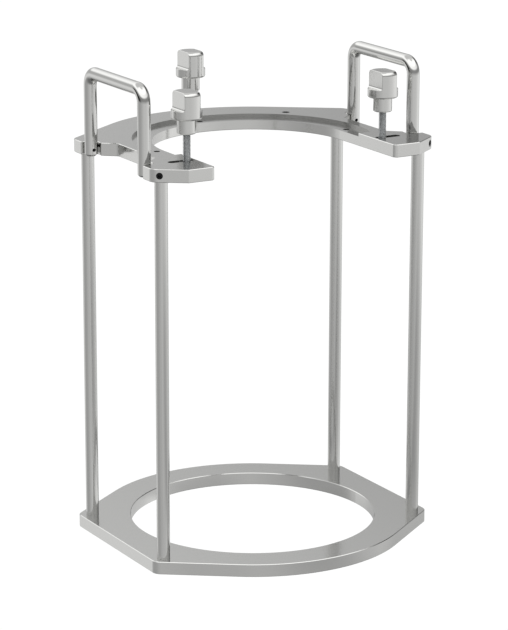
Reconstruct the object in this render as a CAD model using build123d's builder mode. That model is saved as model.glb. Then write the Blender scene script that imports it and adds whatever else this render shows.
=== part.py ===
# Holding frame for a round laboratory vessel, in stainless steel.
# Two plates are joined by four upright rods. The lower plate is a ring that stands on the bench.
# The upper plate is a horseshoe, open towards -Y, with a stepped seat for the vessel's flange,
# three clamp knobs on screws that slide in slots, and two carrying handles that fold outwards.
# Millimetres, +Z up, origin in the middle of the lower plate's underside.

import os
from math import cos, radians, sin, tan

from build123d import *

# ---------------------------------------------------------------- driving dimensions
# upper plate, from the vessel outwards
bore_radius = 78.25           # opening for the vessel, and half the width of the mouth
seat_width = 15.25            # stepped seat around the bore
seat_depth = 2.5
seat_corner_rounding = 2.0
rim_width = 29.5              # from the seat to the round part of the outline
waist_land = 8.2              # from the seat to the plate's narrowest half width
flare_length = 17.9           # length of the slanting flank beside a handle leg, along Y
flare_beyond_leg = 4.7        # where that flank would meet the straight side
waist_rounding = 3.0
arm_beyond_clamp = 30.0       # front face of an arm, from the clamp screw
arm_inner_rounding = 3.0
arm_outer_rounding = 1.5
seat_behind_clamp = 21.9      # where the seat stops on an arm, from the clamp screw
seat_hole_from_bore = 6.0     # small holes in the seat
seat_hole_radius = 2.4
seat_hole_count = 3           # evenly over the rear half
accessory_hole_from_seat = 9.0
accessory_hole_radius = 3.0
accessory_hole_angle = 45

# both plates
slant_angle = 55.0            # outward direction of a slanting side, from the X axis
corner_rounding = 8.0
plate_thickness = 10.0
edge_break = 0.4              # chamfer along every plate rim
base_ring_width = 26.0
frame_height = 314.0          # bench to the top of the upper plate

# rods
rod_radius = 5.0
rod_from_side = 10.25         # rod's axis from the straight side
rod_from_slant = 9.9          # and from the slanting side
rod_end_chamfer = 0.5
base_socket_depth = 3.0       # how far a rod goes down into the lower plate
top_socket_depth = 7.0        # and up into the upper one
socket_clearance = 0.05
rod_tapped_depth = 17.0

# countersunk screws under the lower plate
base_screw_radius = 3.0
base_screw_head_height = 2.8
base_screw_sunk = 0.3         # head below the underside
base_screw_length = 22.0
base_screw_socket = 4.0       # across flats
base_screw_socket_depth = 2.2
screw_clearance = 0.05        # between any screw and its hole

# set screws that grip the rods in the upper plate
set_screw_radius = 2.5
set_screw_sunk = 0.4
set_screw_socket = 2.5
set_screw_socket_depth = 2.0

# handles
handle_bar_radius = 5.0
handle_leg_to_rod = 16.1
handle_rise = 59.5            # top of the bar above the upper plate
handle_bend_radius = 9.5      # centre line of the bends
handle_foot_chamfer = 1.5
notch_gap = 1.5               # room around a leg
notch_gap_inward = 3.2        # more on the side where the hinge pin goes in
notch_rounding = 1.0

# hinge pins of the handles, threaded into the upper plate
hinge_pin_radius = 1.25
hinge_pin_clearance = 0.05
hinge_pin_engagement = 4.5
hinge_pin_sunk = 0.6          # end below the leg's surface
hinge_pin_socket = 1.3
hinge_pin_socket_depth = 1.2

# clamps: places and slots
clamp_from_seat = 5.7         # the three clamp screws stand on a circle around the seat
clamp_angles = {"left": 210, "right": 330, "rear": 90}
slide_angles = {"left": 180, "right": 0, "rear": 90}
front_slide_inward = 1.5
rear_slide_inward = 0.4
slide_outward = 11.6
slot_side_gap = 0.25
slot_end_gap = 0.85           # slot beyond the clamp screw's last place

# clamps: slot nut, its pocket and the cover that closes it from below
nut_length = 9.0              # along the slot
nut_width = 10.0
nut_height = 4.2
nut_side_gap = 0.2
nut_rise_gap = 0.15
nut_corner = 0.5
cover_thickness = 1.5
cover_width = 22.0
cover_overhang = 1.6          # beyond the pocket's outer end
cover_gap = 0.1
cover_corner = 1.5
cover_screw_radius = 1.25
cover_screw_head_height = 1.05
cover_screw_length = 4.5
cover_screw_sunk = 0.1
cover_screw_spread = 8.0      # from the slot's middle line

# clamps: stud, sleeve, retaining ring and knob
stud_radius = 3.0
stud_running_clearance = 0.06
stud_end_chamfer = 0.5
stud_below_nut = 1.3
stud_in_knob = 12.0
knob_lift = 20.4              # sleeve above the upper plate
sleeve_radius = 7.25
sleeve_height = 11.0
sleeve_edge = 1.0
sleeve_to_knob_gap = 0.1
ring_width = 1.6              # beyond the stud
ring_thickness = 0.8
ring_room = 0.2
ring_grip = 0.5               # depth of the ring's groove in the stud
knob_radius = 11.7
collar_height = 7.0
collar_edge = 1.5
collar_rim_break = 0.2
knob_height = 20.8            # collar and grip together
knob_top_rounding = 3.2
grip_half_thickness = 6.7
grip_root_rounding = 1.8

# ---------------------------------------------------------------- places worked out from them
same_place = 0.01             # two points this close are one, when a corner is picked
seat_radius = bore_radius + seat_width
plate_radius = seat_radius + rim_width        # the straight and slanting sides touch this circle too
base_hole_radius = plate_radius - base_ring_width
touch_x = plate_radius * cos(radians(slant_angle))         # a slanting side touches the circle here
touch_y = plate_radius * sin(radians(slant_angle))
corner_y = plate_radius * tan(radians(slant_angle / 2))    # a straight side meets a slanting one here
top_plate_z = frame_height - plate_thickness
middle_z = frame_height - plate_thickness / 2              # hinge pins and set screws
rod_x = plate_radius - rod_from_side
rod_y = (plate_radius - rod_from_slant - rod_x * cos(radians(slant_angle))) / sin(radians(slant_angle))
rod_foot_z = plate_thickness - base_socket_depth
rod_head_z = top_plate_z + top_socket_depth
base_screw_head_radius = base_screw_radius + base_screw_head_height
handle_x = plate_radius - handle_bar_radius
handle_leg_y = rod_y - handle_leg_to_rod
handle_bar_z = frame_height + handle_rise - handle_bar_radius
notch_radius = handle_bar_radius + notch_gap
notch_stretch = notch_gap_inward - notch_gap
notch_y = handle_leg_y - notch_stretch / 2
hinge_pin_tip_y = handle_leg_y + notch_radius + hinge_pin_engagement
waist_x = seat_radius + waist_land
flare_y = handle_leg_y + flare_beyond_leg
waist_y = flare_y - flare_length
clamp_distance = seat_radius + clamp_from_seat
clamp_y = clamp_distance * sin(radians(clamp_angles["right"]))
arm_end_y = clamp_y - arm_beyond_clamp
seat_front_y = clamp_y + seat_behind_clamp
slide_inward = {"left": front_slide_inward, "right": front_slide_inward, "rear": rear_slide_inward}
slot_half_width = stud_radius + slot_side_gap
cover_screw_head_radius = cover_screw_radius + cover_screw_head_height
cover_top_z = top_plate_z + cover_thickness
nut_z = cover_top_z + nut_rise_gap
pocket_depth = cover_thickness + nut_height + 2 * nut_rise_gap
sleeve_z = frame_height + knob_lift
ring_radius = stud_radius + ring_width
collar_z = sleeve_z + sleeve_height
ledge_z = collar_z + collar_height
corners = {"rear_left": (-1, 1), "front_left": (-1, -1), "rear_right": (1, 1), "front_right": (1, -1)}


def side_normal(sx, sy):
    """Outward direction of the slanting side at a corner."""
    return (sx * cos(radians(slant_angle)), sy * sin(radians(slant_angle)), 0)


def clamp_place(name, out=0.0, across=0.0):
    """Point in plan, measured from a clamp screw: out along its slot, and across it."""
    stand = radians(clamp_angles[name])
    slide = radians(slide_angles[name])
    x = clamp_distance * cos(stand) + out * cos(slide) - across * sin(slide)
    y = clamp_distance * sin(stand) + out * sin(slide) + across * cos(slide)
    return x, y


def clamp_frame(name, out=0.0):
    """The same point as a location whose local X runs along the slot."""
    return Location(clamp_place(name, out), slide_angles[name])


def write_part(part, label):
    """Label a finished piece and write its STEP file."""
    part.label = label
    export_step(part, f"parts/{label}.step")


os.makedirs("parts", exist_ok=True)


# ---------------------------------------------------------------- plates
def plate_outline():
    """Circle with four corners: straight sides at +-X and slanting sides, all tangent to it."""
    with BuildSketch() as outline:
        with BuildLine():
            for sx in (1, -1):
                Polyline((sx * touch_x, touch_y), (sx * plate_radius, corner_y),
                         (sx * plate_radius, -corner_y), (sx * touch_x, -touch_y))
            ThreePointArc((touch_x, touch_y), (0, plate_radius), (-touch_x, touch_y))
            ThreePointArc((touch_x, -touch_y), (0, -plate_radius), (-touch_x, -touch_y))
        make_face()
        sides = outline.vertices().filter_by(lambda v: abs(abs(v.X) - plate_radius) < same_place)
        fillet(sides, radius=corner_rounding)
    return outline.sketch


with BuildPart() as base_plate:
    with BuildSketch():
        add(plate_outline())
        Circle(base_hole_radius, mode=Mode.SUBTRACT)
    extrude(amount=plate_thickness)
    chamfer(base_plate.faces().filter_by(Axis.Z).edges(), length=edge_break)
    with Locations(*[(sx * rod_x, sy * rod_y, plate_thickness) for sx, sy in corners.values()]):
        CounterBoreHole(base_screw_radius + screw_clearance, rod_radius + socket_clearance,
                        base_socket_depth)
    with BuildSketch(Plane.XY):
        with Locations(*[(sx * rod_x, sy * rod_y) for sx, sy in corners.values()]):
            Circle(base_screw_head_radius + base_screw_sunk + screw_clearance)
    extrude(amount=base_screw_head_height + base_screw_sunk, taper=45, mode=Mode.SUBTRACT)
write_part(base_plate.part, "base_plate")


def horseshoe_outline():
    """The shared outline, opened to the front, waisted at the sides and notched for the legs."""
    with BuildSketch() as outline:
        add(plate_outline())
        Circle(bore_radius, mode=Mode.SUBTRACT)
        with Locations((0, -plate_radius)):
            Rectangle(2 * bore_radius, 2 * plate_radius, mode=Mode.SUBTRACT)
        with Locations((0, arm_end_y)):
            Rectangle(4 * plate_radius, plate_radius, align=(Align.CENTER, Align.MAX),
                      mode=Mode.SUBTRACT)
        steepness = (flare_y - waist_y) / (plate_radius - waist_x)
        beyond_x = plate_radius + corner_rounding
        beyond_y = flare_y + steepness * corner_rounding
        for sx in (-1, 1):
            with BuildLine():
                Polyline((sx * waist_x, waist_y), (sx * beyond_x, beyond_y),
                         (sx * beyond_x, -beyond_y), (sx * waist_x, -waist_y), close=True)
            make_face(mode=Mode.SUBTRACT)
        front = outline.vertices().filter_by(lambda v: abs(v.Y - arm_end_y) < same_place)
        fillet(front.filter_by(lambda v: abs(v.X) < bore_radius + same_place), radius=arm_inner_rounding)
        fillet(front.filter_by(lambda v: abs(v.X) > bore_radius + same_place), radius=arm_outer_rounding)
        waist = outline.vertices().filter_by(lambda v: abs(abs(v.Y) - waist_y) < same_place)
        fillet(waist.filter_by(lambda v: abs(v.X) > bore_radius), radius=waist_rounding)
        for sx, sy in corners.values():
            with Locations((sx * handle_x, sy * notch_y)):
                SlotCenterToCenter(notch_stretch, 2 * notch_radius, rotation=90, mode=Mode.SUBTRACT)
                Rectangle(plate_radius, 2 * notch_radius + notch_stretch, mode=Mode.SUBTRACT,
                          align=(Align.MIN if sx > 0 else Align.MAX, Align.CENTER))
        lips = outline.vertices().filter_by(lambda v: abs(v.X) > handle_x - notch_radius + same_place)
        lips = lips.filter_by(lambda v: abs(v.Y) < handle_leg_y + notch_radius + same_place)
        lips = lips.filter_by(lambda v: abs(abs(v.X) - handle_x) > same_place)
        fillet(lips, radius=notch_rounding)
    return outline.sketch


def slot_outline(name):
    """The slot in which a clamp screw slides."""
    inner = slide_inward[name] + slot_end_gap
    outer = slide_outward + slot_end_gap
    with BuildSketch() as slot:
        with Locations(clamp_frame(name, (outer - inner) / 2)):
            SlotCenterToCenter(inner + outer, 2 * slot_half_width)
    return slot.sketch


def pocket_outline(name):
    """The space in which a slot nut slides."""
    inner = slide_inward[name] + nut_length / 2 + nut_side_gap
    outer = slide_outward + nut_length / 2 + nut_side_gap
    with BuildSketch() as pocket:
        with Locations(clamp_frame(name, (outer - inner) / 2)):
            RectangleRounded(inner + outer, nut_width + 2 * nut_side_gap, nut_corner)
    return pocket.sketch


def cover_outline(name, gap):
    """The plate that closes a pocket from below."""
    inner = slide_inward[name] + nut_length / 2 + nut_side_gap - gap
    outer = slide_outward + nut_length / 2 + nut_side_gap + cover_overhang - gap
    with BuildSketch() as cover:
        with Locations(clamp_frame(name, (outer - inner) / 2)):
            RectangleRounded(inner + outer, cover_width - 2 * gap, cover_corner)
    return cover.sketch


def cover_screw_places(name):
    """The two screws of a slot cover, one on each side of the slot's middle."""
    out = (slide_outward - slide_inward[name]) / 2
    return [clamp_place(name, out, side * cover_screw_spread) for side in (-1, 1)]


with BuildPart() as top_plate:
    with BuildSketch(Plane.XY.offset(top_plate_z)):
        add(horseshoe_outline())
    extrude(amount=plate_thickness)
    chamfer(top_plate.faces().filter_by(Axis.Z).edges(), length=edge_break)
    with BuildSketch(Plane.XY.offset(frame_height)) as seat:
        Circle(seat_radius)
        with Locations((0, seat_front_y)):
            Rectangle(4 * seat_radius, 2 * seat_radius, align=(Align.CENTER, Align.MAX),
                      mode=Mode.SUBTRACT)
        fillet(seat.vertices(), radius=seat_corner_rounding)
    extrude(amount=-seat_depth, mode=Mode.SUBTRACT)
    for name in clamp_angles:
        with BuildSketch(Plane.XY.offset(top_plate_z)):
            add(cover_outline(name, 0))
        extrude(amount=cover_thickness, mode=Mode.SUBTRACT)
        with BuildSketch(Plane.XY.offset(top_plate_z)):
            add(pocket_outline(name))
        extrude(amount=pocket_depth, mode=Mode.SUBTRACT)
        with BuildSketch(Plane.XY.offset(top_plate_z)):
            add(slot_outline(name))
        extrude(amount=plate_thickness, mode=Mode.SUBTRACT)
        with BuildSketch(Plane.XY.offset(top_plate_z)):
            with Locations(*cover_screw_places(name)):
                Circle(cover_screw_radius + screw_clearance)
        extrude(amount=cover_screw_sunk + cover_screw_length + screw_clearance, mode=Mode.SUBTRACT)
    for sx, sy in corners.values():
        with BuildSketch(Plane.XY.offset(top_plate_z)):
            with Locations((sx * rod_x, sy * rod_y)):
                Circle(rod_radius + socket_clearance)
        extrude(amount=top_socket_depth + socket_clearance, mode=Mode.SUBTRACT)
        with BuildSketch(Plane(origin=(sx * rod_x, sy * rod_y, middle_z), z_dir=side_normal(sx, sy))):
            Circle(set_screw_radius + screw_clearance)
        extrude(amount=rod_from_slant + rod_radius, mode=Mode.SUBTRACT)
        with BuildSketch(Plane(origin=(sx * handle_x, sy * handle_leg_y, middle_z), z_dir=(0, sy, 0))):
            Circle(hinge_pin_radius + screw_clearance)
        extrude(amount=notch_radius + hinge_pin_engagement + screw_clearance, mode=Mode.SUBTRACT)
    with Locations(Plane.XY.offset(frame_height)):
        seat_hole_distance = bore_radius + seat_hole_from_bore
        with PolarLocations(seat_hole_distance, seat_hole_count, angular_range=180, endpoint=True):
            Hole(seat_hole_radius)
        accessory_hole_distance = seat_radius + accessory_hole_from_seat
        with PolarLocations(accessory_hole_distance, 1, start_angle=accessory_hole_angle):
            Hole(accessory_hole_radius)
write_part(top_plate.part, "top_plate")


# ---------------------------------------------------------------- rods and their screws
def rod(sx, sy):
    """Upright rod between the sockets of the two plates, tapped at its foot."""
    with BuildPart() as piece:
        with BuildSketch(Plane.XY.offset(rod_foot_z)):
            with Locations((sx * rod_x, sy * rod_y)):
                Circle(rod_radius)
        extrude(amount=rod_head_z - rod_foot_z)
        chamfer(piece.faces().filter_by(Axis.Z).edges(), length=rod_end_chamfer)
        with BuildSketch(Plane.XY.offset(rod_foot_z)):
            with Locations((sx * rod_x, sy * rod_y)):
                Circle(base_screw_radius + screw_clearance)
        extrude(amount=rod_tapped_depth, mode=Mode.SUBTRACT)
    return piece.part


for corner, (sx, sy) in corners.items():
    write_part(rod(sx, sy), f"rod_{corner}")

with BuildPart() as base_screws:
    for sx, sy in corners.values():
        with BuildSketch(Plane.XY.offset(base_screw_sunk)):
            with Locations((sx * rod_x, sy * rod_y)):
                Circle(base_screw_radius)
        extrude(amount=base_screw_length)
        with BuildSketch(Plane.XY.offset(base_screw_sunk)):
            with Locations((sx * rod_x, sy * rod_y)):
                Circle(base_screw_head_radius)
        extrude(amount=base_screw_head_height, taper=45)
        with BuildSketch(Plane.XY.offset(base_screw_sunk)):
            with Locations((sx * rod_x, sy * rod_y)):
                RegularPolygon(base_screw_socket / 2, 6, major_radius=False)
        extrude(amount=base_screw_socket_depth, mode=Mode.SUBTRACT)
write_part(base_screws.part, "base_screws")

with BuildPart() as rod_set_screws:
    for sx, sy in corners.values():
        normal = side_normal(sx, sy)
        head = Plane(origin=(sx * rod_x, sy * rod_y, middle_z), z_dir=normal)
        head = head.offset(rod_from_slant - set_screw_sunk)
        with BuildSketch(head):
            Circle(set_screw_radius)
        extrude(amount=-(rod_from_slant - set_screw_sunk - rod_radius - socket_clearance))
        with BuildSketch(head):
            RegularPolygon(set_screw_socket / 2, 6, major_radius=False)
        extrude(amount=-set_screw_socket_depth, mode=Mode.SUBTRACT)
write_part(rod_set_screws.part, "rod_set_screws")


# ---------------------------------------------------------------- handles and their hinge pins
def handle(sx):
    """Bent round bar. Each leg has a cross hole near its foot for the hinge pin."""
    x = sx * handle_x
    with BuildPart() as piece:
        with BuildLine():
            FilletPolyline((x, -handle_leg_y, top_plate_z), (x, -handle_leg_y, handle_bar_z),
                           (x, handle_leg_y, handle_bar_z), (x, handle_leg_y, top_plate_z),
                           radius=handle_bend_radius)
        with BuildSketch(Plane(origin=(x, -handle_leg_y, top_plate_z), z_dir=(0, 0, 1))):
            Circle(handle_bar_radius)
        sweep()
        chamfer(piece.faces().filter_by(Axis.Z).edges(), length=handle_foot_chamfer)
        for y in (-handle_leg_y, handle_leg_y):
            with BuildSketch(Plane(origin=(x, y, middle_z), z_dir=(0, 1, 0))):
                Circle(hinge_pin_radius + hinge_pin_clearance)
            extrude(amount=handle_bar_radius, both=True, mode=Mode.SUBTRACT)
    return piece.part


for side, sx in (("left", -1), ("right", 1)):
    write_part(handle(sx), f"handle_{side}")

with BuildPart() as hinge_pins:
    head_y = handle_leg_y - handle_bar_radius + hinge_pin_sunk
    for sx, sy in corners.values():
        head = Plane(origin=(sx * handle_x, sy * head_y, middle_z), z_dir=(0, sy, 0))
        with BuildSketch(head):
            Circle(hinge_pin_radius)
        extrude(amount=hinge_pin_tip_y - head_y)
        with BuildSketch(head):
            RegularPolygon(hinge_pin_socket / 2, 6, major_radius=False)
        extrude(amount=hinge_pin_socket_depth, mode=Mode.SUBTRACT)
write_part(hinge_pins.part, "hinge_pins")


# ---------------------------------------------------------------- clamps
def slot_cover(name):
    """Flush plate that carries the slot nut, with the same slot and two countersunk holes."""
    with BuildPart() as piece:
        with BuildSketch(Plane.XY.offset(top_plate_z)):
            add(cover_outline(name, cover_gap))
            add(slot_outline(name), mode=Mode.SUBTRACT)
        extrude(amount=cover_thickness)
        with Locations(*[(x, y, top_plate_z) for x, y in cover_screw_places(name)]):
            with Locations(Rotation(180, 0, 0)):
                CounterSinkHole(cover_screw_radius + screw_clearance,
                                cover_screw_head_radius + cover_screw_sunk + screw_clearance,
                                counter_sink_angle=90)
    return piece.part


def slot_nut(name):
    """Block that slides in the pocket under the slot and takes the clamp stud."""
    with BuildPart() as piece:
        with BuildSketch(Plane.XY.offset(nut_z)):
            with Locations(clamp_frame(name)):
                RectangleRounded(nut_length, nut_width, nut_corner)
                Circle(stud_radius + stud_running_clearance, mode=Mode.SUBTRACT)
        extrude(amount=nut_height)
    return piece.part


def clamp_stud(name):
    """Clamp screw, with the groove for the retaining ring under the sleeve."""
    foot_z = nut_z - stud_below_nut
    with BuildPart() as piece:
        with BuildSketch(Plane.XY.offset(foot_z)):
            with Locations(clamp_place(name)):
                Circle(stud_radius)
        extrude(amount=collar_z + stud_in_knob - foot_z)
        chamfer(piece.faces().filter_by(Axis.Z).edges(), length=stud_end_chamfer)
        with BuildSketch(Plane.XY.offset(sleeve_z + ring_room)):
            with Locations(clamp_place(name)):
                Circle(2 * stud_radius)
                Circle(stud_radius - ring_grip, mode=Mode.SUBTRACT)
        extrude(amount=ring_thickness, mode=Mode.SUBTRACT)
    return piece.part


def pressure_sleeve(name):
    """Sleeve that presses on the flange without turning; the ring keeps it on the stud."""
    with BuildPart() as piece:
        with BuildSketch(Plane.XY.offset(sleeve_z)):
            with Locations(clamp_place(name)):
                Circle(sleeve_radius)
        extrude(amount=sleeve_height - sleeve_to_knob_gap)
        fillet(piece.faces().sort_by(Axis.Z)[0].edges(), radius=sleeve_edge)
        with BuildSketch(Plane.XY.offset(sleeve_z)):
            with Locations(clamp_place(name)):
                Circle(stud_radius + stud_running_clearance)
        extrude(amount=sleeve_height, mode=Mode.SUBTRACT)
        with BuildSketch(Plane.XY.offset(sleeve_z)):
            with Locations(clamp_place(name)):
                Circle(ring_radius + ring_room)
        extrude(amount=2 * ring_room + ring_thickness, mode=Mode.SUBTRACT)
    return piece.part


def retaining_ring(name):
    """Snap ring in the stud's groove, open on one side."""
    neck = stud_radius - ring_grip
    with BuildPart() as piece:
        with BuildSketch(Plane.XY.offset(sleeve_z + ring_room)):
            with Locations(clamp_frame(name)):
                Circle(ring_radius)
                Circle(neck + screw_clearance, mode=Mode.SUBTRACT)
                Rectangle(ring_radius, 2 * neck, align=(Align.MIN, Align.CENTER), mode=Mode.SUBTRACT)
        extrude(amount=ring_thickness)
    return piece.part


def clamp_knob(name):
    """Round collar with a grip: the same cylinder with two flats and a rounded top."""
    x, y = clamp_place(name)
    with BuildPart() as piece:
        with BuildSketch(Plane.XY.offset(collar_z)):
            with Locations((x, y)):
                Circle(knob_radius)
        extrude(amount=knob_height)
        fillet(piece.faces().sort_by(Axis.Z)[-1].edges(), radius=knob_top_rounding)
        fillet(piece.faces().sort_by(Axis.Z)[0].edges(), radius=collar_edge)
        for side in (-1, 1):
            with BuildSketch(Plane.XZ.offset(-y)) as flat:
                with Locations((x + side * grip_half_thickness, ledge_z)):
                    Rectangle(knob_radius, knob_height,
                              align=(Align.MIN if side > 0 else Align.MAX, Align.MIN))
                root = flat.vertices().group_by(Axis.Y)[0].sort_by(Axis.X)[0 if side > 0 else -1]
                fillet(root, radius=grip_root_rounding)
            extrude(amount=2 * knob_radius, both=True, mode=Mode.SUBTRACT)
        rims = piece.edges().filter_by(GeomType.CIRCLE).filter_by(
            lambda e: abs(e.center().Z - ledge_z) < same_place and abs(e.radius - knob_radius) < same_place)
        chamfer(rims, length=collar_rim_break)
        with BuildSketch(Plane.XY.offset(collar_z)):
            with Locations((x, y)):
                Circle(stud_radius + screw_clearance)
        extrude(amount=stud_in_knob + screw_clearance, mode=Mode.SUBTRACT)
    return piece.part


for name in clamp_angles:
    write_part(slot_cover(name), f"slot_cover_{name}")
    write_part(slot_nut(name), f"slot_nut_{name}")
    write_part(clamp_stud(name), f"clamp_stud_{name}")
    write_part(pressure_sleeve(name), f"pressure_sleeve_{name}")
    write_part(retaining_ring(name), f"retaining_ring_{name}")
    write_part(clamp_knob(name), f"clamp_knob_{name}")

with BuildPart() as cover_screws:
    for name in clamp_angles:
        for place in cover_screw_places(name):
            with BuildSketch(Plane.XY.offset(top_plate_z + cover_screw_sunk)):
                with Locations(place):
                    Circle(cover_screw_radius)
            extrude(amount=cover_screw_length)
            with BuildSketch(Plane.XY.offset(top_plate_z + cover_screw_sunk)):
                with Locations(place):
                    Circle(cover_screw_head_radius)
            extrude(amount=cover_screw_head_height, taper=45)
write_part(cover_screws.part, "cover_screws")
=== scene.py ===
# %% [markdown]
# # A holding frame for a laboratory vessel
# Nearly all of the object is stainless steel: ground plates, drawn rods, polished handles and turned
# knobs. Its shape is complete in the loaded frame, but for the threads of three studs, so most of
# this lesson is about light and metal: bare metal has little colour of its own to show, it shows
# what stands around it.
# %% Load the frame
from math import cos, pi, radians, sin, tau

import bpy
from mathutils import Matrix, Vector


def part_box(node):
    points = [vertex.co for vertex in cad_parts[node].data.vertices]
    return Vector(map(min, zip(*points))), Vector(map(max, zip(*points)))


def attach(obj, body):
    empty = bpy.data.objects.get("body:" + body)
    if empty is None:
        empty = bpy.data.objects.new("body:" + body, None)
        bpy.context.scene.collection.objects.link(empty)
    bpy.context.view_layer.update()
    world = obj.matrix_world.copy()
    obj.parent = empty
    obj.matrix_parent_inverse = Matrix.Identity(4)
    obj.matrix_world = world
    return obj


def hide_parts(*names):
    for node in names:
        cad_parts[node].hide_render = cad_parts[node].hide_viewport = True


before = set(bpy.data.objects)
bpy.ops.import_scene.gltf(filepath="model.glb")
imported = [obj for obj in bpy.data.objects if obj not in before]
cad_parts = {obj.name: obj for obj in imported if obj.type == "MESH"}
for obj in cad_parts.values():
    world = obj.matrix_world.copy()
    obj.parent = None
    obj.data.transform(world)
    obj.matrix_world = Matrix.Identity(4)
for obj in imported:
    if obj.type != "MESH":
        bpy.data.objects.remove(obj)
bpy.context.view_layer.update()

mm = 0.001

# %% [markdown]
# Two helpers are used all through. Colours are written as sRGB hex codes, as a paint or a swatch
# gives them, and Blender's shaders want linear light, so one function turns one into the other, by
# the sRGB standard's own formula. The other adds a node: it sets what it is given, on the node itself
# or on its sockets, and links it.
# %% Helpers for colours and nodes
def linear(code):
    """Linear RGBA of an sRGB hex code."""
    shares = [int(code[i:i + 2], 16) / 255 for i in (1, 3, 5)]
    return [s / 12.92 if s <= 0.04045 else ((s + 0.055) / 1.055) ** 2.4 for s in shares] + [1.0]


def add_node(tree, kind, settings=None, links=None):
    """A new node with its settings, by attribute or socket, and its incoming links, by socket."""
    node = tree.nodes.new(kind)
    for key, value in (settings or {}).items():
        if isinstance(key, str) and hasattr(node, key):
            setattr(node, key, value)
        else:
            node.inputs[key].default_value = value
    for key, source in (links or {}).items():
        tree.links.new(source, node.inputs[key])
    return node


print("mid grey in linear light:", round(linear("#808080")[0], 3))

# %% [markdown]
# The camera is a long lens far away, as for a catalogue: upright lines stay nearly parallel. It looks
# from the front left, a little from above. Its place is worked out from an azimuth, an elevation and
# a distance, and it aims at a point near the middle of the frame.
# %% Camera
azimuth, elevation, roll = radians(-30.276), radians(15.194), radians(0.119)
distance, aside, lift = 2275.2 * mm, 1.2 * mm, 166.1 * mm
lens_mm = 162.88
sight = 50.0                                # in metres, past the far corners of the sheet below

back = Vector((sin(azimuth) * cos(elevation), -cos(azimuth) * cos(elevation), sin(elevation)))
right = Vector((cos(azimuth), sin(azimuth), 0))
up = back.cross(right)
right, up = cos(roll) * right + sin(roll) * up, cos(roll) * up - sin(roll) * right
camera = bpy.data.objects.new("camera", bpy.data.cameras.new("camera"))
camera.data.lens = lens_mm
camera.data.clip_end = sight
camera.matrix_world = Matrix.Translation(back * distance + right * aside + up * lift) @ Matrix(
    (right, up, back)).transposed().to_4x4()
bpy.context.scene.collection.objects.link(camera)
bpy.context.scene.camera = camera
bpy.context.scene.view_settings.view_transform = "Standard"
print("camera at", [round(v, 3) for v in camera.location])

# %% [markdown]
# The frame stands on a sheet of white opal acrylic that is lit from below. That is how catalogue
# pictures lose their shadows: the sheet glows evenly, and just reaches white. A brighter one would
# eat into the outlines of the thin rods. The metal doesn't see this sheet, since a white floor in
# every reflection would leave the rods flat. Its back is clear, so the frame can be seen from below.
# %% White opal sheet
SHEET_HALF = 12.0                           # in metres
SHEET_GLOW = 1.03                           # 1 is white


def level_sheet(name, height):
    """A square, level sheet that reaches far past the frame."""
    mesh = bpy.data.meshes.new(name)
    corners = [(-SHEET_HALF, -SHEET_HALF, height), (SHEET_HALF, -SHEET_HALF, height),
               (SHEET_HALF, SHEET_HALF, height), (-SHEET_HALF, SHEET_HALF, height)]
    mesh.from_pydata(corners, [], [(0, 1, 2, 3)])
    piece = bpy.data.objects.new(name, mesh)
    bpy.context.scene.collection.objects.link(piece)
    return piece


floor = level_sheet("opal_sheet", 0.0)
floor.visible_glossy = floor.visible_shadow = False
opal = bpy.data.materials.new("opal_acrylic_white")
opal.use_nodes = True
opal_tree = opal.node_tree
opal_tree.nodes.clear()
underneath = add_node(opal_tree, "ShaderNodeNewGeometry").outputs["Backfacing"]
own_light = add_node(opal_tree, "ShaderNodeEmission",
                     {"Color": linear("#FFFFFF"), "Strength": SHEET_GLOW})
open_back = add_node(opal_tree, "ShaderNodeBsdfTransparent")
one_sided = add_node(opal_tree, "ShaderNodeMixShader",
                     links={0: underneath, 1: own_light.outputs[0], 2: open_back.outputs[0]})
add_node(opal_tree, "ShaderNodeOutputMaterial", links={"Surface": one_sided.outputs[0]})
floor.data.materials.append(opal)
print("sheet", 2 * SHEET_HALF, "m wide, glowing at", SHEET_GLOW)

# %% [markdown]
# What the metal sees below the horizon is dimmer close to the frame than far away, because there the
# frame shades the floor around it. A thin filter just under the sheet, seen by reflections only, lays
# a painted shadow over them, and low parts of the rods and the rim of the base come out darker by it.
# The share of the light that it takes away is the product of two tables. One goes by the side of the
# frame, in degrees around the upright axis with +X at 0 and the front at -90: nearly half in front, a
# quarter at the right, a third at the back and hardly any at the left. The other goes by the distance
# from the axis.
# %% How much the painted shadow takes away
# Both tables set a painted shadow: the frame's shadow on the floor, seen only in reflections.
SHADOW_BY_SIDE = [
    (-180, 0.0), (-155, 0.0), (-140, 0.12), (-125, 0.12), (-118, 0.15), (-111, 0.20), (-104, 0.29),
    (-97, 0.38), (-90, 0.45), (-83, 0.46), (-76, 0.45), (-69, 0.42), (-58, 0.40), (-46, 0.36),
    (-32, 0.35), (-18, 0.31), (-4, 0.25), (10, 0.17), (30, 0.05), (60, 0.12), (75, 0.30), (90, 0.38),
    (103, 0.38), (114, 0.10), (135, 0.03), (180, 0.0)]
SHADOW_BY_REACH = [(0.0, 0.8), (0.15, 0.8), (0.25, 1.0), (0.3, 0.95), (0.7, 0.8), (1.0, 0.35),
                    (1.25, 0.05), (1.5, 0.0)]                          # metres from the axis
LAST_REACH = SHADOW_BY_REACH[-1][0]
print("filter takes at most", max(share for _, share in SHADOW_BY_SIDE), "of the light")

# %% [markdown]
# A colour ramp can follow such a table, once each place in it is turned into a share from 0 to 1. For
# the sides, that is a share of a full turn, which an arctangent gives for any vector.
# %% Helpers for the tables
def fill_ramp(node, stops, first, last):
    """Set a colour ramp's stops from (place, grey) pairs, with places between first and last."""
    ramp = node.color_ramp
    while len(ramp.elements) > 1:
        ramp.elements.remove(ramp.elements[-1])
    shares = [(place - first) / (last - first) for place, _ in stops]
    ramp.elements[0].position = shares[0]
    for share in shares[1:]:
        ramp.elements.new(share)
    for element, (_, grey) in zip(ramp.elements, stops):
        element.color = (grey, grey, grey, 1.0)


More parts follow.
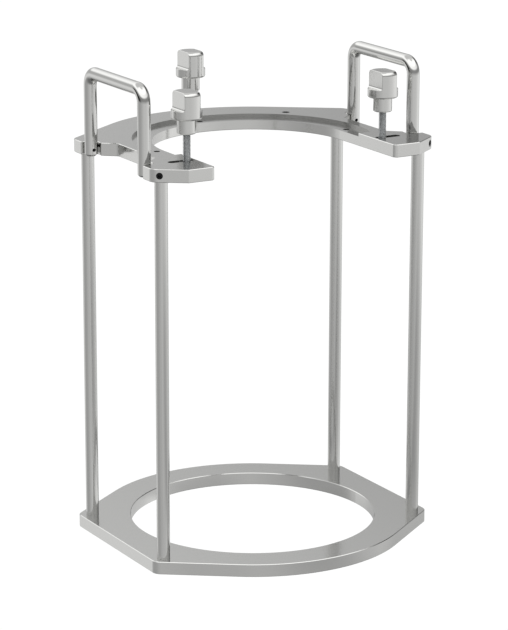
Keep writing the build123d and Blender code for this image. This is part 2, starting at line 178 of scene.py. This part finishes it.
def turn_share(tree, vector):
    """The vector's direction around Z, as a share of the turn from -180 to 180 degrees."""
    parts = add_node(tree, "ShaderNodeSeparateXYZ", links={0: vector})
    angle = add_node(tree, "ShaderNodeMath", {"operation": "ARCTAN2"},
                     {0: parts.outputs["Y"], 1: parts.outputs["X"]})
    share = add_node(tree, "ShaderNodeMapRange", {"From Min": -pi, "From Max": pi},
                     {"Value": angle.outputs[0]})
    return share.outputs["Result"]


print("helpers ready: fill_ramp, turn_share")

# %% [markdown]
# The filter itself is a clear sheet, and its tint is the share of the light that it leaves over: a
# painted shadow of the frame in what the metal sees of the floor. The camera doesn't see it and
# scattered light passes it: only reflections are dimmed.
# %% Painted shadow filter under the reflections
FILTER_DEPTH = 1 * mm

shadow_card = level_sheet("painted_shadow_filter", -FILTER_DEPTH)
shadow_card.visible_camera = shadow_card.visible_diffuse = shadow_card.visible_transmission = False
painted_shadow_material = bpy.data.materials.new("painted_shadow_filter")
painted_shadow_material.use_nodes = True
filter_tree = painted_shadow_material.node_tree
filter_tree.nodes.clear()
spot = add_node(filter_tree, "ShaderNodeNewGeometry").outputs["Position"]
by_side = add_node(filter_tree, "ShaderNodeValToRGB", links={"Fac": turn_share(filter_tree, spot)})
fill_ramp(by_side, SHADOW_BY_SIDE, -180, 180)
level_spot = add_node(filter_tree, "ShaderNodeVectorMath", {"operation": "MULTIPLY", 1: (1, 1, 0)},
                      {0: spot})
reach = add_node(filter_tree, "ShaderNodeVectorMath", {"operation": "LENGTH"},
                 {0: level_spot.outputs[0]})
reach_share = add_node(filter_tree, "ShaderNodeMapRange", {"From Max": LAST_REACH},
                       {"Value": reach.outputs["Value"]})
by_reach = add_node(filter_tree, "ShaderNodeValToRGB", links={"Fac": reach_share.outputs["Result"]})
fill_ramp(by_reach, SHADOW_BY_REACH, 0, LAST_REACH)
taken = add_node(filter_tree, "ShaderNodeMath", {"operation": "MULTIPLY"},
                 {0: by_reach.outputs["Color"], 1: by_side.outputs["Color"]})
left_over = add_node(filter_tree, "ShaderNodeMath", {"operation": "SUBTRACT", 0: 1.0},
                     {1: taken.outputs[0]})
# Painted shadow: reflections of the floor come out darker where the frame would shade it.
clear = add_node(filter_tree, "ShaderNodeBsdfTransparent", links={"Color": left_over.outputs[0]})
add_node(filter_tree, "ShaderNodeOutputMaterial", links={"Surface": clear.outputs[0]})
shadow_card.data.materials.append(painted_shadow_material)
print("filter", FILTER_DEPTH / mm, "mm under the sheet, clear from", LAST_REACH, "m on")

# %% [markdown]
# The surroundings are a studio painted in bands, one above the other. Each has a table by direction,
# in the same degrees: the camera stands at -120, so -30 is at its right, 60 is straight behind the
# frame and 150 at its left. The cards around the table come first, and the upright rods show their
# changes as soft stripes. The backdrop above the horizon is what the flat tops show, brighter to the
# left of its middle. A slit between table and backdrop, at the left, lets the dark room in. The soft
# boxes have one black gap at the far right, which polished bends draw as a dark streak. The lights
# overhead are the brightest, and half as bright on the far side.
# %% Brightness of each band, by direction
CARDS = [
    (-180, 0.52), (-165, 0.56), (-155, 0.61), (-143, 0.66), (-130, 0.71), (-120, 0.76), (-110, 0.775),
    (-85, 0.79), (-60, 0.87), (-45, 0.94), (-30, 1.05), (-10, 1.14), (0, 1.05), (10, 0.90), (20, 0.85),
    (36, 0.72), (60, 0.62), (90, 0.80), (105, 0.95), (121, 0.98), (128, 0.80), (134, 0.61),
    (142, 0.54), (150, 0.51), (180, 0.52)]
BACKDROP = [
    (-180, 0.36), (-130, 0.34), (-116, 0.38), (-60, 0.36), (0, 0.34), (40, 0.36), (54, 0.41),
    (57.3, 0.461), (59.7, 0.512), (62.1, 0.574), (66, 0.616), (80, 0.62), (105, 0.60), (121, 0.62),
    (134, 0.44), (146, 0.38), (180, 0.36)]
SLIT = [(-180, 0.7), (-168, 0.4), (-150, 0.0), (121, 0.0), (131, 1.0), (165, 1.0), (180, 0.7)]
SOFT_BOXES = [
    (-180, 0.85), (-120, 0.8), (-60, 0.7), (-25, 0.55), (-10, 0.35), (-3, 0.03), (30, 0.03),
    (38, 0.35), (60, 0.5), (73, 0.55), (89, 0.73), (105, 0.84), (150, 0.84), (180, 0.85)]
OVERHEAD = [(-180, 0.85), (-10, 0.85), (25, 0.42), (140, 0.42), (165, 0.85), (180, 0.85)]
TABLES = {"cards": CARDS, "backdrop": BACKDROP, "slit": SLIT, "soft boxes": SOFT_BOXES,
          "overhead": OVERHEAD}
for name, stops in TABLES.items():
    greys = [grey for _, grey in stops]
    print(name, "from", min(greys), "to", max(greys))

# %% [markdown]
# In a world's shader, the generated coordinate is the direction that a ray leaves in. Each band gets
# a ramp that follows its table, and the two bands of lamps are then made stronger as a whole.
# %% Bands around the frame
STRONGER = {"soft boxes": 1.9, "overhead": 2.0}

world = bpy.data.worlds.new("studio")
bpy.context.scene.world = world
world.use_nodes = True
studio = world.node_tree
studio.nodes.clear()
look = add_node(studio, "ShaderNodeTexCoord").outputs["Generated"]
direction = turn_share(studio, look)
bands = {}
for name, stops in TABLES.items():
    ramp = add_node(studio, "ShaderNodeValToRGB", links={"Fac": direction})
    fill_ramp(ramp, stops, -180, 180)
    bands[name] = ramp.outputs["Color"]
for name, factor in STRONGER.items():
    stronger = add_node(studio, "ShaderNodeMath", {"operation": "MULTIPLY", 1: factor},
                        {0: bands[name]})
    bands[name] = stronger.outputs[0]
print(len(bands), "bands,", len(STRONGER), "of them made stronger")

# %% [markdown]
# Each band begins softly, between two elevations in degrees, and covers what lies below it. The slit
# is the only band that ends again, so its end is subtracted from its beginning.
# %% Where each band begins
BEGINS = {"cards": (-60, -15), "backdrop": (-9, 6), "slit": (-7, -2), "slit ends": (6, 11),
          "soft boxes": (15, 29), "overhead": (36, 48), "ceiling": (73, 79)}

height = add_node(studio, "ShaderNodeSeparateXYZ", links={0: look}).outputs["Z"]
begun = {}
for name, (lower, upper) in BEGINS.items():
    edge = add_node(studio, "ShaderNodeMapRange",
                    {"interpolation_type": "SMOOTHSTEP", "From Min": sin(radians(lower)),
                     "From Max": sin(radians(upper))}, {"Value": height})
    begun[name] = edge.outputs["Result"]
slit_height = add_node(studio, "ShaderNodeMath", {"operation": "SUBTRACT"},
                       {0: begun["slit"], 1: begun["slit ends"]})
slit = add_node(studio, "ShaderNodeMath", {"operation": "MULTIPLY"},
                {0: slit_height.outputs[0], 1: bands["slit"]})
print("the bands change at", sorted(BEGINS.values()), "degrees")

# %% [markdown]
# The bands are laid over one another from below, each by a mix whose factor says how far it has
# begun. The lowest light is dim, as under a table, and straight overhead is a plain ceiling.
# %% Lay the bands over one another
UNDERSIDE_LIGHT, ROOM_LIGHT, CEILING_LIGHT = 0.22, 0.01, 0.95

light = UNDERSIDE_LIGHT
for factor, band in ((begun["cards"], bands["cards"]), (begun["backdrop"], bands["backdrop"]),
                     (begun["soft boxes"], bands["soft boxes"]), (slit.outputs[0], ROOM_LIGHT),
                     (begun["overhead"], bands["overhead"]), (begun["ceiling"], CEILING_LIGHT)):
    layer = add_node(studio, "ShaderNodeMix", links={"Factor": factor})
    for socket, value in (("A", light), ("B", band)):
        if isinstance(value, float):
            layer.inputs[socket].default_value = value
        else:
            studio.links.new(value, layer.inputs[socket])
    light = layer.outputs["Result"]
glow = add_node(studio, "ShaderNodeBackground", links={"Color": light})
add_node(studio, "ShaderNodeOutputWorld", links={"Surface": glow.outputs[0]})
print("studio built with", len(studio.nodes), "nodes")

# %% [markdown]
# All the stainless steel here is one metal, with four surfaces. Stainless steel is a slightly warm
# light grey. What differs is how each surface was made: a belt leaves long fine lines on a plate, a
# die leaves lines along a drawn rod, a buffing wheel leaves a handle nearly as bright as a mirror,
# and a lathe leaves rings. Real lines are a few hundredths of a millimetre apart, too fine to show
# at this size, so they are drawn about ten times coarser and very faint. One recipe makes them all:
# noise, stretched to the lines' sizes, varies the roughness a little and adds a slight relief. For
# turned pieces the noise is laid out by the distance from their axis, which makes rings of it.
# %% One recipe for bare metal
STEEL = "#CCCCCA"


def bare_metal(name, colour, roughness, uneven, grain_mm, depth_mm, centre=None):
    """Bare metal with fine lines of these sizes along X, Y and Z, or in rings around a centre.

    Its roughness is uneven by so much up and down, and its relief is depth_mm deep.
    """
    material = bpy.data.materials.new(name)
    material.use_nodes = True
    tree = material.node_tree
    shader = tree.nodes["Principled BSDF"]
    shader.inputs["Base Color"].default_value = linear(colour)
    shader.inputs["Metallic"].default_value = 1.0
    place = add_node(tree, "ShaderNodeTexCoord").outputs["Object"]
    if centre:
        place = add_node(tree, "ShaderNodeVectorMath", {"operation": "SUBTRACT", 1: centre},
                         {0: place})
        flat = add_node(tree, "ShaderNodeVectorMath", {"operation": "MULTIPLY", 1: (1, 1, 0)},
                        {0: place.outputs[0]})
        reach = add_node(tree, "ShaderNodeVectorMath", {"operation": "LENGTH"},
                         {0: flat.outputs[0]})
        level = add_node(tree, "ShaderNodeSeparateXYZ", links={0: place.outputs[0]})
        place = add_node(tree, "ShaderNodeCombineXYZ",
                         links={"X": reach.outputs["Value"], "Z": level.outputs["Z"]}).outputs[0]
    scaled = add_node(tree, "ShaderNodeMapping", {"Scale": [1 / (size * mm) for size in grain_mm]},
                      {"Vector": place})
    lines = add_node(tree, "ShaderNodeTexNoise", {"Scale": 1.0, "Detail": 3.0, "Roughness": 0.6},
                     {"Vector": scaled.outputs[0]})
    gloss = add_node(tree, "ShaderNodeMapRange",
                     {"To Min": roughness - uneven, "To Max": roughness + uneven},
                     {"Value": lines.outputs["Fac"]})
    tree.links.new(gloss.outputs["Result"], shader.inputs["Roughness"])
    relief = add_node(tree, "ShaderNodeBump", {"Strength": 1.0, "Distance": depth_mm * mm},
                      {"Height": lines.outputs["Fac"]})
    tree.links.new(relief.outputs["Normal"], shader.inputs["Normal"])
    return material


def finish_nodes(material, *names):
    """Give CAD nodes one material."""
    for name in names:
        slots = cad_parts[name].data.materials
        slots.clear()
        slots.append(material)
    print(material.name, "on", len(names), "nodes")


# %% [markdown]
# The plates are ground on a belt, which leaves them satin: soft reflections, drawn out along X.
# %% Ground plates
ground_steel = bare_metal("stainless_steel_ground", STEEL, roughness=0.15, uneven=0.02,
                          grain_mm=(6.0, 0.5, 0.5), depth_mm=0.0004)
finish_nodes(ground_steel, "base_plate", "top_plate", "slot_cover_left", "slot_cover_right",
             "slot_cover_rear")

# %% [markdown]
# Rods come from the die with a bright drawn skin. Its lines run along the rod.
# %% Drawn rods
drawn_steel = bare_metal("stainless_steel_drawn", STEEL, roughness=0.15, uneven=0.02,
                         grain_mm=(0.5, 0.5, 25.0), depth_mm=0.0005)
finish_nodes(drawn_steel, "rod_front_left", "rod_front_right", "rod_rear_left", "rod_rear_right")

# %% [markdown]
# The handles are bent from the same bar and then buffed, so they show sharper reflections.
# %% Polished handles
polished_steel = bare_metal("stainless_steel_polished", STEEL, roughness=0.06, uneven=0.015,
                            grain_mm=(2.0, 2.0, 2.0), depth_mm=0.0004)
finish_nodes(polished_steel, "handle_left", "handle_right")

# %% [markdown]
# Knobs and sleeves are turned. The tool's rings lie around each clamp's own axis, so each clamp gets
# the same recipe with its own centre, read from the box of its sleeve.
# %% Turned knobs and sleeves
CLAMPS = ("left", "right", "rear")

for side in CLAMPS:
    first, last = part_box(f"pressure_sleeve_{side}")
    axis = (first + last) / 2
    turned_steel = bare_metal(f"stainless_steel_turned_{side}", STEEL, roughness=0.13, uneven=0.02,
                              grain_mm=(0.4, 0.4, 0.4), depth_mm=0.0005,
                              centre=(axis.x, axis.y, 0))
    finish_nodes(turned_steel, f"pressure_sleeve_{side}", f"clamp_knob_{side}")

# %% [markdown]
# Screws are cold formed and left plain, a little greyer than the plates. The retaining rings are
# spring steel under a film of oil, dull and dark. The set screws and the hinge pins are black: an
# oxide skin with a little oil.
# %% Screw stock, spring steel and black oxide
plain_steel = bare_metal("stainless_steel_plain", "#B4B6B7", roughness=0.16, uneven=0.02,
                         grain_mm=(0.6, 0.6, 0.6), depth_mm=0.0005)
finish_nodes(plain_steel, "base_screws", "cover_screws", *[
    f"{piece}_{side}" for piece in ("clamp_stud", "slot_nut") for side in CLAMPS])
spring_steel = bare_metal("spring_steel_oiled", "#6E6C68", roughness=0.35, uneven=0.04,
                          grain_mm=(0.5, 0.5, 0.5), depth_mm=0.001)
finish_nodes(spring_steel, *[f"retaining_ring_{side}" for side in CLAMPS])
black_oxide = bare_metal("alloy_steel_black_oxide", "#2A2A2B", roughness=0.38, uneven=0.06,
                         grain_mm=(0.3, 0.3, 0.3), depth_mm=0.002)
finish_nodes(black_oxide, "rod_set_screws", "hinge_pins")

# %% [markdown]
# The clamp screws have an M6 thread: a right-hand helix with a pitch of 1 mm. Its crests are flat
# over an eighth of the pitch, and its roots lie 0.61 mm below. Real roots are rounded, and a flat
# over a quarter of the pitch stands in for that, so the flanks are 54 degrees apart in place of 60.
# A screw modifier could sweep such a profile, but its ends would stay open, so the thread is written
# here as one sheet of points around the axis. The height of a point decides how deep it lies, and
# each step round the axis moves the profile on by its share of the pitch.
# %% Thread profile
PITCH, THREAD_DEPTH = 1 * mm, 0.613 * mm
CREST, ROOT = 1 / 8, 1 / 4                  # flat shares of the pitch


def flank_depth(phase):
    """Depth below the crest, as a share of the whole, at this share of a pitch."""
    to_crest = abs((phase % 1.0) - 0.5) * 2                     # 1 on the crest, 0 in the root
    return min(max((1 - CREST - to_crest) / (1 - CREST - ROOT), 0.0), 1.0)


print("depth over half a pitch:", [round(flank_depth(part / 16), 2) for part in range(9)])

# %% [markdown]
# Both ends of a stud are bevelled, and a groove for the retaining ring is cut into the thread, a
# little wider than the ring. The points go round row by row, and a face joins each four neighbours.
# %% Surface of a stud
BEVEL, GROOVE_DEPTH, GROOVE_PLAY = 0.7 * mm, 0.5 * mm, 0.05 * mm
AROUND, ROWS_PER_TURN = 40, 12


def stud_points(side):
    """The points of one stud, in rows from its foot up, and how many rows follow the first."""
    first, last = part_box(f"clamp_stud_{side}")
    ring_first, ring_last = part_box(f"retaining_ring_{side}")
    centre, radius = (first + last) / 2, (last.x - first.x) / 2
    rows = round((last.z - first.z) / PITCH * ROWS_PER_TURN)
    points = []
    for row in range(rows + 1):
        z = first.z + (last.z - first.z) * row / rows
        from_end = min(z - first.z, last.z - z)
        for step in range(AROUND):
            angle = tau * step / AROUND
            r = radius - THREAD_DEPTH * flank_depth((z - first.z) / PITCH - step / AROUND)
            r = min(r, radius - BEVEL + from_end) if from_end < BEVEL else r
            if ring_first.z - GROOVE_PLAY < z < ring_last.z + GROOVE_PLAY:
                r = min(r, radius - GROOVE_DEPTH)
            points.append((centre.x + r * cos(angle), centre.y + r * sin(angle), z))
    return points, rows


def stud_faces(rows):
    """The faces between the rows, and the two that close the ends."""
    faces = [(row * AROUND + step, row * AROUND + (step + 1) % AROUND,
              (row + 1) * AROUND + (step + 1) % AROUND, (row + 1) * AROUND + step)
             for row in range(rows) for step in range(AROUND)]
    foot = tuple(reversed(range(AROUND)))
    return faces + [foot, tuple(rows * AROUND + step for step in range(AROUND))]


print("a turn of thread has", AROUND * ROWS_PER_TURN, "points")

# %% [markdown]
# Each threaded stud takes the place of the plain one and rides on its screw. Its sides are shaded
# smooth and its two end faces flat.
# %% Threaded studs
def threaded_stud(side):
    """The stud of one clamp as a closed mesh with a real helix."""
    points, rows = stud_points(side)
    mesh = bpy.data.meshes.new(f"threaded_stud_{side}")
    mesh.from_pydata(points, [], stud_faces(rows))
    for face in mesh.polygons[:-2]:
        face.use_smooth = True
    mesh.materials.append(plain_steel)
    piece = bpy.data.objects.new(f"threaded_stud_{side}", mesh)
    bpy.context.scene.collection.objects.link(piece)
    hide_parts(f"clamp_stud_{side}")
    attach(piece, f"screw_{side}")
    return piece


for side in CLAMPS:
    stud = threaded_stud(side)
    print(stud.name, "has", len(stud.data.vertices), "points")
